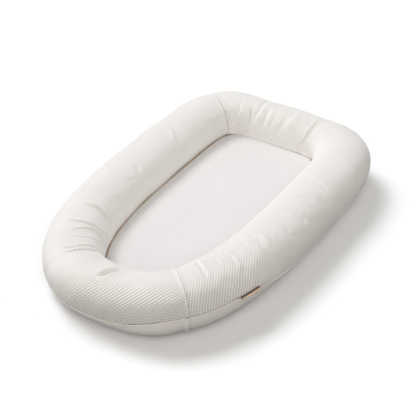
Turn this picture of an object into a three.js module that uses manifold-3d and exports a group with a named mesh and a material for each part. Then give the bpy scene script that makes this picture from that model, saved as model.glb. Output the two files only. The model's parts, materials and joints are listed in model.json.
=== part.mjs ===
// Infant lounger: a padded ring of four cloth panels round a flat mattress, zipped underneath.
// Millimetres, +X to the right, +Y towards the head end, +Z up, origin on the floor below the middle.

import * as THREE from 'three';
import { mergeVertices } from 'three/addons/utils/BufferGeometryUtils.js';
import Module from 'manifold-3d';

const wasm = await Module();
wasm.setup();

// Overall size and the outline of the bolster
const overallLength = 900;
const overallWidth = 550;
const bolsterHeight = 125;
const widestLine = 55; // how far the widest line lies from the middle, towards the head
const bolsterHeadExponent = 4.7;
const bolsterFootExponent = 2.7;
const sectionExponent = 2.26;

// Outline of the well that the child lies in
const wellWidth = 276;
const wellHeadEnd = 340; // from the middle to the well's head end
const wellFootEnd = 328; // from the middle to the well's foot end
const wellHeadExponent = 6.7;
const wellFootExponent = 2.53;

// Places of the four panel seams, as angles of the outlines' formula
const footLeftSeam = THREE.MathUtils.degToRad(-114);
const footRightSeam = THREE.MathUtils.degToRad(-53.5);
const headRightSeam = THREE.MathUtils.degToRad(84);
const headLeftSeam = THREE.MathUtils.degToRad(132.5);

// Cloth and fit
const pieceGap = 0.3; // between pieces that are sewn or pressed together
const coverThickness = 2; // knit with its thin backing, for the covers and the band
const baseThickness = 1.5;
const sheetThickness = 1.5;
const wallThickness = 0.8;
const seamDrawIn = 3; // how deep a panel seam pulls the bolster in
const seamDrawReach = 26; // how far along the ring that pull is felt

// Outer seam between the covers and the base band
const seamCordRadius = 0.8;
const seamHeight = 38; // height of the outer seam on the far sides
const seamRise = 31; // how much higher it runs near the foot's right seam
const seamRiseAngle = THREE.MathUtils.degToRad(-48);
const seamRiseSpread = THREE.MathUtils.degToRad(34);
const seamRiseExponent = 4;

// Mattress and the crease round it
const mattressHeight = 52; // top of the sheet at its rim
const mattressCrown = 5; // how much higher the middle is
const crownExponent = 2.5;
const creasePipingRadius = 1.5;
const padSideDrop = 6.5; // from the pad's top edge down to where its side is fullest
const padFootRise = 7; // from the floor cloth up to where its side is fullest again
const padFootInset = 4; // how far the pad's bottom edge is drawn in
const wallOpeningStart = THREE.MathUtils.degToRad(75);
const wallOpeningEnd = THREE.MathUtils.degToRad(105);

// Loop label in the outer seam
const labelLength = 52;
const labelReach = 15;
const labelThickness = 2.4;
const labelTapeThickness = 0.9;
const labelAngle = THREE.MathUtils.degToRad(-27);
const labelTilt = THREE.MathUtils.degToRad(10);

// Zip across the underside
const zipLine = 190; // from the middle towards the head
const zipSideMargin = 6; // from the well's side to the end of the zip's recess
const chainThickness = 2.4;
const toothPitch = 3.5;
const toothWidth = 1.8;
const toothTipShare = 0.7; // width of a tooth at its tip, as a share of its root
const toothLength = 1.4;
const coreWidth = 0.8;
const zipFloorClearance = 0.9; // from the floor to the slider's bridge
const tapeThickness = 0.8;
const tapeWidth = 11.2;
const tapeEndMargin = 3; // tape past the top stops
const stopLength = 2.5;
const sliderLength = 11;
const sliderWidth = 9.2;
const sliderCorner = 1.8;
const webThickness = 1;
const lowerPlateThickness = 1.2;
const upperPlateThickness = 1;
const sliderLipWidth = 1;
const bridgeLength = 9;
const bridgeSlope = 0.9; // how far each foot of the bridge leans out
const bridgeFoot = 1.6;
const bridgeThickness = 1;
const bridgeWidth = 2;
const bridgeRoom = 1.7; // height of the room that the pull's bar turns in
const pullLength = 24;
const pullWidth = 7;
const pullThickness = 1;
const pullBar = 1;
const pullSideRoom = 0.4; // between the bridge and the pull's arms
const pullWindowLength = 5.2;
const pullHoleRadius = 1.3;
const overrun = 1; // how far a cut runs past what it cuts

// How finely the soft forms are faceted
const stationSpacing = 34;
const coverFacets = 10;
const bandFacets = 4;
const underFacets = 3;
const cordSides = 6;
const labelSteps = 3;
const crownShares = [0.45, 0.75, 0.92, 1];
const roundSides = 12;

// Angles and levels that follow from the sizes above
const wholeTurn = 2 * Math.PI;
const halfTurn = Math.PI;
const quarterTurn = Math.PI / 2;
const restLevel = baseThickness + pieceGap;
const middleHeight = bolsterHeight / 2;
const sheetUnderside = mattressHeight - sheetThickness;
const padTop = sheetUnderside - pieceGap;
const creaseHeight = mattressHeight - sheetThickness / 2;
const coverEdgeHeight = creaseHeight - creasePipingRadius;
const sheetInset = 2 * creasePipingRadius + 2 * pieceGap;
const bridgeTop = zipFloorClearance + bridgeThickness;
const lowerPlateBottom = bridgeTop + bridgeRoom;
const lowerPlateTop = lowerPlateBottom + lowerPlateThickness;
const chainBottom = lowerPlateTop + pieceGap;
const chainTop = chainBottom + chainThickness;
const upperPlateBottom = chainTop + pieceGap;
const upperPlateTop = upperPlateBottom + upperPlateThickness;
const tapeBottom = (chainBottom + chainTop - tapeThickness) / 2;
const tapeTop = tapeBottom + tapeThickness;
const toothTip = webThickness / 2 + pieceGap;
const coreInner = toothTip + toothLength;
const coreOuter = coreInner + coreWidth;
const tapeInner = coreOuter + pieceGap;
const tapeOuter = tapeInner + tapeWidth;
const lipInner = tapeOuter - baseThickness;
const recessRight = wellWidth / 2 - zipSideMargin;
const recessLeft = -recessRight;
const chainRight = recessRight - tapeEndMargin - stopLength - pieceGap;
const chainLeft = recessLeft + pullLength + stopLength + pieceGap;
const chainLength = chainRight - chainLeft;
const sliderMiddle = chainRight - sliderLength / 2 - pieceGap;
const pinHeight = bridgeTop + bridgeRoom / 2;

// Materials
function cloth(colour) {
  return new THREE.MeshStandardMaterial({ color: colour, roughness: 0.92, metalness: 0 });
}

function metal(colour) {
  return new THREE.MeshStandardMaterial({ color: colour, roughness: 0.35, metalness: 1 });
}

const knitWhite = '#f1efec';
const bandWhite = '#e4e0da';
const sheetWhite = '#ece9e6';
const waddingWhite = '#f7f6f3';
const liningWhite = '#e9e7e2';
const pipingTan = '#9a8672';
const threadTan = '#b79f8a';
const labelBrown = '#6a4a38';
const zipCream = '#ddd8cf';
const nickelGrey = '#b4b3b0';

const lounger = new THREE.Group();

function addPiece(name, geometry, material) {
  const mesh = new THREE.Mesh(geometry, material);
  mesh.name = name;
  lounger.add(mesh);
  return mesh;
}

// Solids for joining and cutting
function toSolid(geometry) {
  const bare = geometry.clone();
  bare.deleteAttribute('normal');
  bare.deleteAttribute('uv');
  const merged = mergeVertices(bare);
  return new wasm.Manifold(new wasm.Mesh({
    numProp: 3,
    vertProperties: new Float32Array(merged.attributes.position.array),
    triVerts: new Uint32Array(merged.index.array),
  }));
}

function toGeometry(solid) {
  const result = solid.getMesh();
  const geometry = new THREE.BufferGeometry();
  geometry.setAttribute('position', new THREE.BufferAttribute(result.vertProperties, 3));
  geometry.setIndex(new THREE.BufferAttribute(result.triVerts, 1));
  return geometry;
}

function boxFrom(x0, x1, y0, y1, z0, z1) {
  return new THREE.BoxGeometry(x1 - x0, y1 - y0, z1 - z0)
    .translate((x0 + x1) / 2, (y0 + y1) / 2, (z0 + z1) / 2);
}

// A flat outline, extruded upwards from one height to another
function plate(shape, bottom, top) {
  return new THREE.ExtrudeGeometry(shape, {
    depth: top - bottom,
    bevelEnabled: false,
    curveSegments: roundSides,
  }).translate(0, 0, bottom);
}

// Outlines: half a superellipse towards the head and half towards the foot
const bolsterOutline = {
  halfWidth: overallWidth / 2,
  headReach: overallLength / 2 - widestLine,
  footReach: overallLength / 2 + widestLine,
  headExponent: bolsterHeadExponent,
  footExponent: bolsterFootExponent,
};

const wellOutline = {
  halfWidth: wellWidth / 2,
  headReach: wellHeadEnd - widestLine,
  footReach: wellFootEnd + widestLine,
  headExponent: wellHeadExponent,
  footExponent: wellFootExponent,
};

function signedPower(value, power) {
  return Math.sign(value) * Math.abs(value) ** power;
}

function outlinePoint(outline, angle) {
  const towardsHead = Math.sin(angle) >= 0;
  const power = 2 / (towardsHead ? outline.headExponent : outline.footExponent);
  const reach = towardsHead ? outline.headReach : outline.footReach;
  return new THREE.Vector2(
    outline.halfWidth * signedPower(Math.cos(angle), power),
    widestLine + reach * signedPower(Math.sin(angle), power),
  );
}

function ringMiddle(angle) {
  return outlinePoint(bolsterOutline, angle).lerp(outlinePoint(wellOutline, angle), 0.5);
}

function halfRingWidth(angle) {
  return outlinePoint(bolsterOutline, angle).distanceTo(outlinePoint(wellOutline, angle)) / 2;
}

// A place by its ring angle, its distance outwards from the ring's middle line, and its height
function ringPlace(angle, across, height) {
  const outwards = outlinePoint(bolsterOutline, angle).sub(outlinePoint(wellOutline, angle)).normalize();
  const place = ringMiddle(angle).addScaledVector(outwards, across);
  return new THREE.Vector3(place.x, place.y, height);
}

// Stations: even steps along the ring between the seams and the four outermost points
function angleOfStep(angle, length) {
  const probe = 1e-3;
  const slope = ringMiddle(angle + probe).distanceTo(ringMiddle(angle - probe)) / (2 * probe);
  return length / slope;
}

function evenAngles(from, to) {
  const samples = 48;
  const lengths = [0];
  for (let i = 1; i <= samples; i++) {
    const here = ringMiddle(from + (to - from) * i / samples);
    const before = ringMiddle(from + (to - from) * (i - 1) / samples);
    lengths.push(lengths[i - 1] + here.distanceTo(before));
  }
  const steps = Math.max(1, Math.round(lengths[samples] / stationSpacing));
  const angles = [];
  for (let step = 0; step < steps; step++) {
    const wanted = lengths[samples] * step / steps;
    const i = Math.max(1, lengths.findIndex((length) => length > wanted));
    const share = (wanted - lengths[i - 1]) / (lengths[i] - lengths[i - 1]);
    angles.push(from + (to - from) * (i - 1 + share) / samples);
  }
  return angles;
}

function stationsBetween(start, end) {
  const first = start + angleOfStep(start, pieceGap / 2);
  const last = end - angleOfStep(end, pieceGap / 2);
  const stops = [first];
  for (let turn = Math.ceil(first / quarterTurn); turn * quarterTurn < last; turn++) {
    stops.push(turn * quarterTurn);
  }
  stops.push(last);
  const angles = [];
  for (let i = 1; i < stops.length; i++) {
    angles.push(...evenAngles(stops[i - 1], stops[i]));
  }
  angles.push(last);
  return angles;
}

const panels = [
  { name: 'left', stations: stationsBetween(headLeftSeam, footLeftSeam + wholeTurn) },
  { name: 'foot', stations: stationsBetween(footLeftSeam + wholeTurn, footRightSeam + wholeTurn) },
  { name: 'right', stations: stationsBetween(footRightSeam + wholeTurn, headRightSeam + wholeTurn) },
  { name: 'head', stations: stationsBetween(headRightSeam + wholeTurn, headLeftSeam + wholeTurn) },
];
const ringStations = panels.flatMap((panel) => panel.stations);
const loopStations = panels.flatMap((panel) => panel.stations.slice(1));

// The bolster's section: turn 0 is its outermost point, a quarter turn its crest, half a turn the well
function drawIn(angle) {
  const here = ringMiddle(angle);
  const seams = [footLeftSeam, footRightSeam, headRightSeam, headLeftSeam];
  const pulls = seams.map((seam) => Math.exp(-((here.distanceTo(ringMiddle(seam)) / seamDrawReach) ** 2)));
  return seamDrawIn * Math.max(...pulls);
}

function sectionPoint(angle, turn, inset) {
  const pulled = inset + drawIn(angle);
  const power = 2 / sectionExponent;
  return new THREE.Vector2(
    (halfRingWidth(angle) - pulled) * signedPower(Math.cos(turn), power),
    middleHeight + (middleHeight - pulled) * signedPower(Math.sin(turn), power),
  );
}

function turnAtHeight(height) {
  return Math.asin(signedPower((height - middleHeight) / middleHeight, sectionExponent / 2));
}

function outerSeamHeight(angle) {
  const away = Math.atan2(Math.sin(angle - seamRiseAngle), Math.cos(angle - seamRiseAngle));
  return seamHeight + seamRise * Math.exp(-((away / seamRiseSpread) ** seamRiseExponent));
}

function evenTurns(from, to, facets) {
  return Array.from({ length: facets + 1 }, (unused, i) => from + (to - from) * i / facets);
}

const lowTurn = turnAtHeight(restLevel);

function coverTurns(angle) {
  const edge = outerSeamHeight(angle) + seamCordRadius + pieceGap;
  return evenTurns(turnAtHeight(edge), halfTurn - turnAtHeight(coverEdgeHeight), coverFacets);
}

function bandTurns(angle) {
  const edge = outerSeamHeight(angle) - seamCordRadius - pieceGap;
  return evenTurns(lowTurn, turnAtHeight(edge), bandFacets);
}

function underTurns() {
  return evenTurns(halfTurn - turnAtHeight(coverEdgeHeight), halfTurn - lowTurn, underFacets);
}

// Whether an edge turns forwards round the section's middle, as the outside of a shell does. The inside
// runs backwards and is split along its other diagonal, so that nested faces stay parallel.
function runsOutwards(a, b) {
  return a.x * (b.y - middleHeight) - b.x * (a.y - middleHeight) > 0;
}

// A solid swept round the ring from a section at each station, closed into a loop or capped
function ringSolid(stations, sectionAt, closed = false) {
  const sections = stations.map(sectionAt);
  const count = sections[0].length;
  const positions = [];
  stations.forEach((angle, i) => {
    for (const point of sections[i]) {
      positions.push(...ringPlace(angle, point.x, point.y).toArray());
    }
  });
  const triangles = [];
  const lastStation = closed ? stations.length : stations.length - 1;
  for (let i = 0; i < lastStation; i++) {
    const here = i * count;
    const next = ((i + 1) % stations.length) * count;
    for (let j = 0; j < count; j++) {
      const k = (j + 1) % count;
      if (runsOutwards(sections[i][j], sections[i][k])) {
        triangles.push(here + j, next + j, here + k);
        triangles.push(next + j, next + k, here + k);
      } else {
        triangles.push(here + j, next + j, next + k);
        triangles.push(here + j, next + k, here + k);
      }
    }
  }
  if (!closed) {
    const end = (stations.length - 1) * count;
    for (const [a, b, c] of THREE.ShapeUtils.triangulateShape(sections[0], [])) {
      triangles.push(a, b, c);
    }
    for (const [a, b, c] of THREE.ShapeUtils.triangulateShape(sections.at(-1), [])) {
      triangles.push(end + c, end + b, end + a);
    }
  }
  const geometry = new THREE.BufferGeometry();
  geometry.setAttribute('position', new THREE.Float32BufferAttribute(positions, 3));
  geometry.setIndex(triangles);
  return geometry;
}

// A cloth shell between two turns of the section
function shellSection(turnsAt) {
  return (angle) => {
    const turns = turnsAt(angle);
    const outside = turns.map((turn) => sectionPoint(angle, turn, 0));
    const inside = turns.map((turn) => sectionPoint(angle, turn, coverThickness));
    return [...outside, ...inside.reverse()];
  };
}

for (const panel of panels) {
  const cover = ringSolid(panel.stations, shellSection(coverTurns));
  addPiece(`bolster_cover_${panel.name}`, cover, cloth(knitWhite));
  const band = ringSolid(panel.stations, shellSection(bandTurns));
  addPiece(`base_band_${panel.name}`, band, cloth(bandWhite));
}

// Bolster roll: wadding that fills the covers, flat where it lies on the base cloth, its ends meeting
function rollSection(angle) {
  const fit = coverThickness + pieceGap;
  const band = bandTurns(angle).map((turn) => sectionPoint(angle, turn, fit));
  const top = coverTurns(angle).map((turn) => sectionPoint(angle, turn, fit));
  const under = underTurns().slice(1).map((turn) => sectionPoint(angle, turn, fit));
  const restEdge = band[0].x - 2 * pieceGap;
  const rest = [new THREE.Vector2(-restEdge, restLevel), new THREE.Vector2(restEdge, restLevel)];
  return [...rest, ...band.slice(0, -1), ...top, ...under];
}

addPiece('bolster_roll', ringSolid(ringStations, rollSection), cloth(waddingWhite));

// Cords that run all round, one in the outer seam and one in the crease
function cordSection(across, height, radius) {
  return Array.from({ length: cordSides }, (unused, i) => {
    const turn = wholeTurn * i / cordSides;
    return new THREE.Vector2(across + radius * Math.cos(turn), height + radius * Math.sin(turn));
  });
}

function seamCordSection(angle) {
  const inset = coverThickness / 2;
  const middle = sectionPoint(angle, turnAtHeight(outerSeamHeight(angle)), inset);
  return cordSection(middle.x, middle.y, seamCordRadius);
}

function creasePipingSection(angle) {
  const across = -halfRingWidth(angle) - pieceGap - creasePipingRadius;
  return cordSection(across, creaseHeight, creasePipingRadius);
}

addPiece('outer_seam_cord', ringSolid(loopStations, seamCordSection, true), cloth(threadTan));
addPiece('crease_piping', ringSolid(loopStations, creasePipingSection, true), cloth(pipingTan));

// Channel wall: a lining strip from the crease to the base cloth, left open at the head end
function wallSection(angle) {
  const inner = -halfRingWidth(angle);
  const outer = inner + wallThickness;
  const top = coverEdgeHeight - pieceGap;
  return [
    new THREE.Vector2(inner, restLevel),
    new THREE.Vector2(outer, restLevel),
    new THREE.Vector2(outer, top),
    new THREE.Vector2(inner, top),
  ];
}

const wallStations = [...loopStations, ...loopStations.map((angle) => angle + wholeTurn)]
  .filter((angle) => angle > wallOpeningEnd && angle < wallOpeningStart + wholeTurn);
addPiece('channel_wall', ringSolid(wallStations, wallSection), cloth(liningWhite));

// A solid from a stack of level rims, with a middle point above and below
const wellMiddle = new THREE.Vector2(0, (wellHeadEnd - wellFootEnd) / 2);

function rim(inset, share, height) {
  return loopStations.map((angle) => {
    const place = ringPlace(angle, -halfRingWidth(angle) - inset, height);
    place.x = wellMiddle.x + (place.x - wellMiddle.x) * share;
    place.y = wellMiddle.y + (place.y - wellMiddle.y) * share;
    return place;
  });
}

function stackedSolid(rims, topHeight, bottomHeight) {
  const count = rims[0].length;
  const points = rims.flat();
  points.push(new THREE.Vector3(wellMiddle.x, wellMiddle.y, topHeight));
  points.push(new THREE.Vector3(wellMiddle.x, wellMiddle.y, bottomHeight));
  const top = points.length - 2;
  const bottom = points.length - 1;
  const last = (rims.length - 1) * count;
  const triangles = [];
  for (let j = 0; j < count; j++) {
    const k = (j + 1) % count;
    triangles.push(top, j, k);
    triangles.push(bottom, last + k, last + j);
    for (let i = 0; i + 1 < rims.length; i++) {
      const upper = i * count;
      const lower = upper + count;
      triangles.push(upper + j, lower + j, upper + k);
      triangles.push(lower + j, lower + k, upper + k);
    }
  }
  const geometry = new THREE.BufferGeometry();
  geometry.setAttribute('position', new THREE.Float32BufferAttribute(
    points.flatMap((point) => point.toArray()), 3));
  geometry.setIndex(triangles);
  return geometry;
}

function crownAt(share) {
  return mattressCrown * (1 - share ** crownExponent);
}

// Mattress top sheet: smooth cloth drawn over the pad's crown
const sheetTopRims = crownShares.map((share) => rim(sheetInset, share, mattressHeight + crownAt(share)));
const sheetUnderRims = crownShares.map((share) => rim(sheetInset, share, sheetUnderside + crownAt(share)));
const sheet = stackedSolid(
  [...sheetTopRims, ...sheetUnderRims.reverse()],
  mattressHeight + mattressCrown,
  sheetUnderside + mattressCrown,
);
addPiece('mattress_top_sheet', sheet, cloth(sheetWhite));

// Mattress pad: crowned above, full at its sides, drawn in at its edges, hollowed over the zip
const padTopRims = crownShares.map((share) => rim(sheetInset, share, padTop + crownAt(share)));
const padRims = [
  ...padTopRims,
  rim(pieceGap, 1, padTop - padSideDrop),
  rim(pieceGap, 1, restLevel + padFootRise),
  rim(padFootInset, 1, restLevel),
];
const zipHollow = toSolid(boxFrom(
  recessLeft - pieceGap,
  recessRight + pieceGap,
  zipLine - tapeOuter - pieceGap,
  zipLine + tapeOuter + pieceGap,
  -overrun,
  upperPlateTop + pieceGap,
));
const pad = toSolid(stackedSolid(padRims, padTop + mattressCrown, restLevel)).subtract(zipHollow);
addPiece('mattress_pad', toGeometry(pad), cloth(waddingWhite));

// Base cloth: two flat parts sewn together across the middle, each with a lip up beside the zip
const baseOutline = new THREE.Shape(loopStations.map((angle) => {
  const edge = ringPlace(angle, sectionPoint(angle, lowTurn, 0).x, 0);
  return new THREE.Vector2(edge.x, edge.y);
}));
const baseSolid = toSolid(plate(baseOutline, 0, baseThickness));

function basePart(side) {
  const seam = zipLine + side * pieceGap / 2;
  const far = zipLine - side * overallLength;
  const otherSide = toSolid(boxFrom(
    -overallWidth, overallWidth, Math.min(seam, far), Math.max(seam, far), -overrun, overrun + baseThickness,
  ));
  const inner = zipLine + side * lipInner;
  const outer = zipLine + side * tapeOuter;
  const recess = toSolid(boxFrom(
    recessLeft, recessRight, Math.min(zipLine, inner), Math.max(zipLine, inner),
    -overrun, overrun + baseThickness,
  ));
  const lip = toSolid(boxFrom(
    recessLeft, recessRight, Math.min(inner, outer), Math.max(inner, outer), 0, tapeBottom - pieceGap,
  ));
  return baseSolid.subtract(otherSide).subtract(recess).add(lip);
}

addPiece('base_cloth_head', toGeometry(basePart(1)), cloth(liningWhite));
addPiece('base_cloth_foot', toGeometry(basePart(-1)), cloth(liningWhite));

// Zip tapes and chains: teeth on a core along the inner edge of each tape
function chainShape(side, shift) {
  const shape = new THREE.Shape();
  const at = (x, away) => [x, zipLine + side * away];
  const teeth = Math.floor((chainLength - toothWidth - toothPitch / 2) / toothPitch) + 1;
  shape.moveTo(...at(chainRight, coreInner));
  shape.lineTo(...at(chainRight, coreOuter));
  shape.lineTo(...at(chainLeft, coreOuter));
  shape.lineTo(...at(chainLeft, coreInner));
  for (let tooth = 0; tooth < teeth; tooth++) {
    const x = chainLeft + toothWidth / 2 + shift + tooth * toothPitch;
    const tip = toothWidth * toothTipShare / 2;
    shape.lineTo(...at(x - toothWidth / 2, coreInner));
    shape.lineTo(...at(x - tip, toothTip));
    shape.lineTo(...at(x + tip, toothTip));
    shape.lineTo(...at(x + toothWidth / 2, coreInner));
  }
  return shape;
}

for (const { name, side, shift } of [
  { name: 'head', side: 1, shift: toothPitch / 4 },
  { name: 'foot', side: -1, shift: toothPitch / 2 },
]) {
  const inner = zipLine + side * tapeInner;
  const outer = zipLine + side * tapeOuter;
  const tape = boxFrom(
    recessLeft, recessRight, Math.min(inner, outer), Math.max(inner, outer), tapeBottom, tapeTop,
  );
  addPiece(`zip_tape_${name}`, tape, cloth(zipCream));
  const chain = plate(chainShape(side, shift), chainBottom, chainTop);
  addPiece(`zip_chain_${name}`, chain, cloth(zipCream));
  const stopLeft = chainRight + pieceGap;
  const near = zipLine + side * toothTip;
  const far = zipLine + side * coreOuter;
  const stop = boxFrom(
    stopLeft, stopLeft + stopLength, Math.min(near, far), Math.max(near, far), chainBottom, chainTop,
  );
  addPiece(`zip_top_stop_${name}`, stop, metal(nickelGrey));
}

const bottomStop = boxFrom(
  chainLeft - pieceGap - stopLength, chainLeft - pieceGap,
  zipLine - coreOuter, zipLine + coreOuter, chainBottom, chainTop,
);
addPiece('zip_bottom_stop', bottomStop, metal(nickelGrey));

// Zip slider: two plates on one web, lips towards the tapes, and a bridge for the pull below
const sliderGroup = new THREE.Group();
sliderGroup.position.set(sliderMiddle, zipLine, 0);
lounger.add(sliderGroup);

const alongX = new THREE.Matrix4().makeBasis(
  new THREE.Vector3(0, 1, 0), new THREE.Vector3(0, 0, 1), new THREE.Vector3(1, 0, 0));
const acrossY = new THREE.Matrix4().makeBasis(
  new THREE.Vector3(1, 0, 0), new THREE.Vector3(0, 0, 1), new THREE.Vector3(0, -1, 0));

function sliderProfile() {
  const edge = sliderWidth / 2;
  const lip = edge - sliderLipWidth;
  const web = webThickness / 2;
  const quarter = [
    [web, chainBottom - pieceGap],
    [lip, lowerPlateTop],
    [lip, tapeBottom - pieceGap],
    [edge, tapeBottom - pieceGap],
    [edge, lowerPlateBottom],
  ];
  const upper = [
    [edge, upperPlateTop],
    [edge, tapeTop + pieceGap],
    [lip, tapeTop + pieceGap],
    [lip, upperPlateBottom],
    [web, upperPlateBottom],
  ];
  const right = [...upper, ...quarter];
  const left = right.map(([y, z]) => [-y, z]).reverse();
  return new THREE.Shape([...right, ...left].map(([y, z]) => new THREE.Vector2(y, z)));
}

function sliderPlan() {
  const long = sliderLength / 2;
  const wide = sliderWidth / 2;
  const corners = [[long, wide], [-long, wide], [-long, -wide], [long, -wide]];
  const points = corners.flatMap(([x, y], i) => {
    const alongFirst = new THREE.Vector2(x, y - Math.sign(y) * sliderCorner);
    const acrossFirst = new THREE.Vector2(x - Math.sign(x) * sliderCorner, y);
    return i % 2 === 0 ? [alongFirst, acrossFirst] : [acrossFirst, alongFirst];
  });
  return new THREE.Shape(points);
}

function bridgeShape() {
  const foot = bridgeLength / 2;
  const sole = foot - bridgeSlope;
  const room = foot - bridgeFoot;
  const root = lowerPlateBottom + lowerPlateThickness / 2;
  return new THREE.Shape([
    new THREE.Vector2(-foot, root),
    new THREE.Vector2(-foot, lowerPlateBottom),
    new THREE.Vector2(-sole, zipFloorClearance),
    new THREE.Vector2(sole, zipFloorClearance),
    new THREE.Vector2(foot, lowerPlateBottom),
    new THREE.Vector2(foot, root),
    new THREE.Vector2(room, root),
    new THREE.Vector2(room, bridgeTop),
    new THREE.Vector2(-room, bridgeTop),
    new THREE.Vector2(-room, root),
  ]);
}

const sliderBar = new THREE.ExtrudeGeometry(sliderProfile(), { depth: sliderLength, bevelEnabled: false })
  .applyMatrix4(alongX)
  .translate(-sliderLength / 2, 0, 0);
const sliderBridge = new THREE.ExtrudeGeometry(bridgeShape(), { depth: bridgeWidth, bevelEnabled: false })
  .applyMatrix4(acrossY)
  .translate(0, bridgeWidth / 2, 0);
const slider = toSolid(sliderBar)
  .intersect(toSolid(plate(sliderPlan(), 0, upperPlateTop + overrun)))
  .add(toSolid(sliderBridge));
const sliderMesh = addPiece('zip_slider', toGeometry(slider), metal(nickelGrey));
sliderGroup.add(sliderMesh);

// Zip pull: a flat tab whose end bar turns inside the bridge
const pullGroup = new THREE.Group();
pullGroup.position.set(0, 0, pinHeight);
sliderGroup.add(pullGroup);

function pullShape() {
  const wide = pullWidth / 2;
  const barEnd = pullBar / 2;
  const roundStart = pullLength - wide;
  const arm = bridgeWidth / 2 + pullSideRoom;
  const shape = new THREE.Shape();
  shape.moveTo(barEnd, -wide);
  shape.lineTo(barEnd, wide);
  shape.lineTo(-roundStart, wide);
  shape.absarc(-roundStart, 0, wide, quarterTurn, quarterTurn + halfTurn, false);
  const window = new THREE.Path([
    new THREE.Vector2(-barEnd, -arm),
    new THREE.Vector2(-pullWindowLength, -arm),
    new THREE.Vector2(-pullWindowLength, arm),
    new THREE.Vector2(-barEnd, arm),
  ]);
  const hole = new THREE.Path();
  hole.absarc(-roundStart, 0, pullHoleRadius, 0, wholeTurn, true);
  shape.holes.push(window, hole);
  return shape;
}

const pullMesh = addPiece('zip_pull', plate(pullShape(), -pullThickness / 2, pullThickness / 2), metal(nickelGrey));
pullGroup.add(pullMesh);

// Loop label: a short tape folded double, its two ends caught in the outer seam
function labelSection(angle) {
  const surface = sectionPoint(angle, turnAtHeight(outerSeamHeight(labelAngle)), 0);
  const along = new THREE.Vector2(Math.cos(labelTilt), Math.sin(labelTilt));
  const up = new THREE.Vector2(-along.y, along.x);
  const start = 2 * pieceGap;
  const half = labelThickness / 2;
  const slot = half - labelTapeThickness;
  const corners = [
    [start, -half],
    [labelReach - half, -half],
    [labelReach, 0],
    [labelReach - half, half],
    [start, half],
    [start, slot],
    [labelReach - half, slot],
    [labelReach - half, -slot],
    [start, -slot],
  ];
  return corners.map(([out, rise]) => surface.clone().addScaledVector(along, out).addScaledVector(up, rise));
}

const labelHalfAngle = angleOfStep(labelAngle, labelLength / 2);
const labelStations = Array.from({ length: labelSteps + 1 }, (unused, i) => (
  labelAngle - labelHalfAngle + 2 * labelHalfAngle * i / labelSteps));
addPiece('loop_label', ringSolid(labelStations, labelSection), cloth(labelBrown));

export default lounger;
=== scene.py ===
import json
import math

import bpy
import numpy as np
from mathutils import Matrix, Vector

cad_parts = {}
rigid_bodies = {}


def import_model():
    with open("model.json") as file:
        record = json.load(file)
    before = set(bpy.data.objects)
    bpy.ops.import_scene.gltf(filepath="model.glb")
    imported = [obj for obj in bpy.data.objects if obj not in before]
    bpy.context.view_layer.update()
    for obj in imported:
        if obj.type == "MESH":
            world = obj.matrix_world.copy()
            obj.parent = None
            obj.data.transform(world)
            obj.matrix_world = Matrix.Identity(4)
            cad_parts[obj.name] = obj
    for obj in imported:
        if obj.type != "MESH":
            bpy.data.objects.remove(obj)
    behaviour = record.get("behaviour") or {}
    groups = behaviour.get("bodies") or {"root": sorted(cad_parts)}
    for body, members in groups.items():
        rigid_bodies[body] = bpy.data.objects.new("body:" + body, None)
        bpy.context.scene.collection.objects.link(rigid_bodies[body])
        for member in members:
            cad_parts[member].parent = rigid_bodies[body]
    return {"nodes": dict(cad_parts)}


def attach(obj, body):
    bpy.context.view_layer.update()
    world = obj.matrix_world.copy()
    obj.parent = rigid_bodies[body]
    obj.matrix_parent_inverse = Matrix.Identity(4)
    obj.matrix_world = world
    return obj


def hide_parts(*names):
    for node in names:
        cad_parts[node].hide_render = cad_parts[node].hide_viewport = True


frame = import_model()
for leftover in [o for o in bpy.data.objects if o.name in ("Cube", "Light", "Camera")]:
    bpy.data.objects.remove(leftover)
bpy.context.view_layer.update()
bpy.ops.object.select_all(action="DESELECT")


# Bolster roll: a long sausage of polyester wadding in a thin casing, bent round so that its two ends
# meet beside the head's left seam. It fills the covers and lies flat on the base cloth.
half_width = 0.275
half_length = 0.450
middle_height = 0.0625
widest_line = 0.055  # how far the widest line lies towards the head
well_half_width = 0.138
well_head_end = 0.340
well_foot_end = -0.328
section_exponent = 2.26
seam_draw_in = 0.003  # how deep a panel seam pulls the bolster in
seam_draw_reach = 0.026
gather_pitch = 0.0165  # of the small gathers beside the crease
gather_depth = 0.0011
gather_reach = 0.42  # radians of turn from the crease
rest_level = 0.0018  # top of the base cloth
roll_gap = 0.0035  # from the covers' outside to the roll, backing and slack included
roll_end_gap = 0.0015
roll_end_rounding = 0.012
quarter_turn = math.pi / 2


def signed_power(value, power):
    return np.sign(value) * np.abs(value) ** power


def outline(angle, width, head_end, foot_end, head_exponent, foot_exponent):
    towards_head = np.sin(angle) >= 0
    power = np.where(towards_head, 2 / head_exponent, 2 / foot_exponent)
    reach = np.where(towards_head, head_end - widest_line, widest_line - foot_end)
    x = width * signed_power(np.cos(angle), power)
    y = widest_line + reach * signed_power(np.sin(angle), power)
    return np.stack([x, y], axis=-1)


def outer_outline(angle):
    return outline(angle, half_width, half_length, -half_length, 4.7, 2.7)


def well_outline(angle):
    return outline(angle, well_half_width, well_head_end, well_foot_end, 6.7, 2.53)


# Lengths along the ring's middle line are counted from the foot's tip, towards the right side first
steps = np.linspace(0, 1, 3001)
eased = np.where(steps < 0.5, 0.5 * (2 * steps) ** 4, 1 - 0.5 * (2 - 2 * steps) ** 4)
ring_angles = np.concatenate([quarter_turn * (quarter + eased[:-1]) for quarter in (-1, 0, 1, 2)])
ring_angles = np.append(ring_angles, 3 * quarter_turn)
ring_line = (outer_outline(ring_angles) + well_outline(ring_angles)) / 2
ring_lengths = np.append(0, np.cumsum(np.linalg.norm(np.diff(ring_line, axis=0), axis=1)))
ring_length = ring_lengths[-1]


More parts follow.
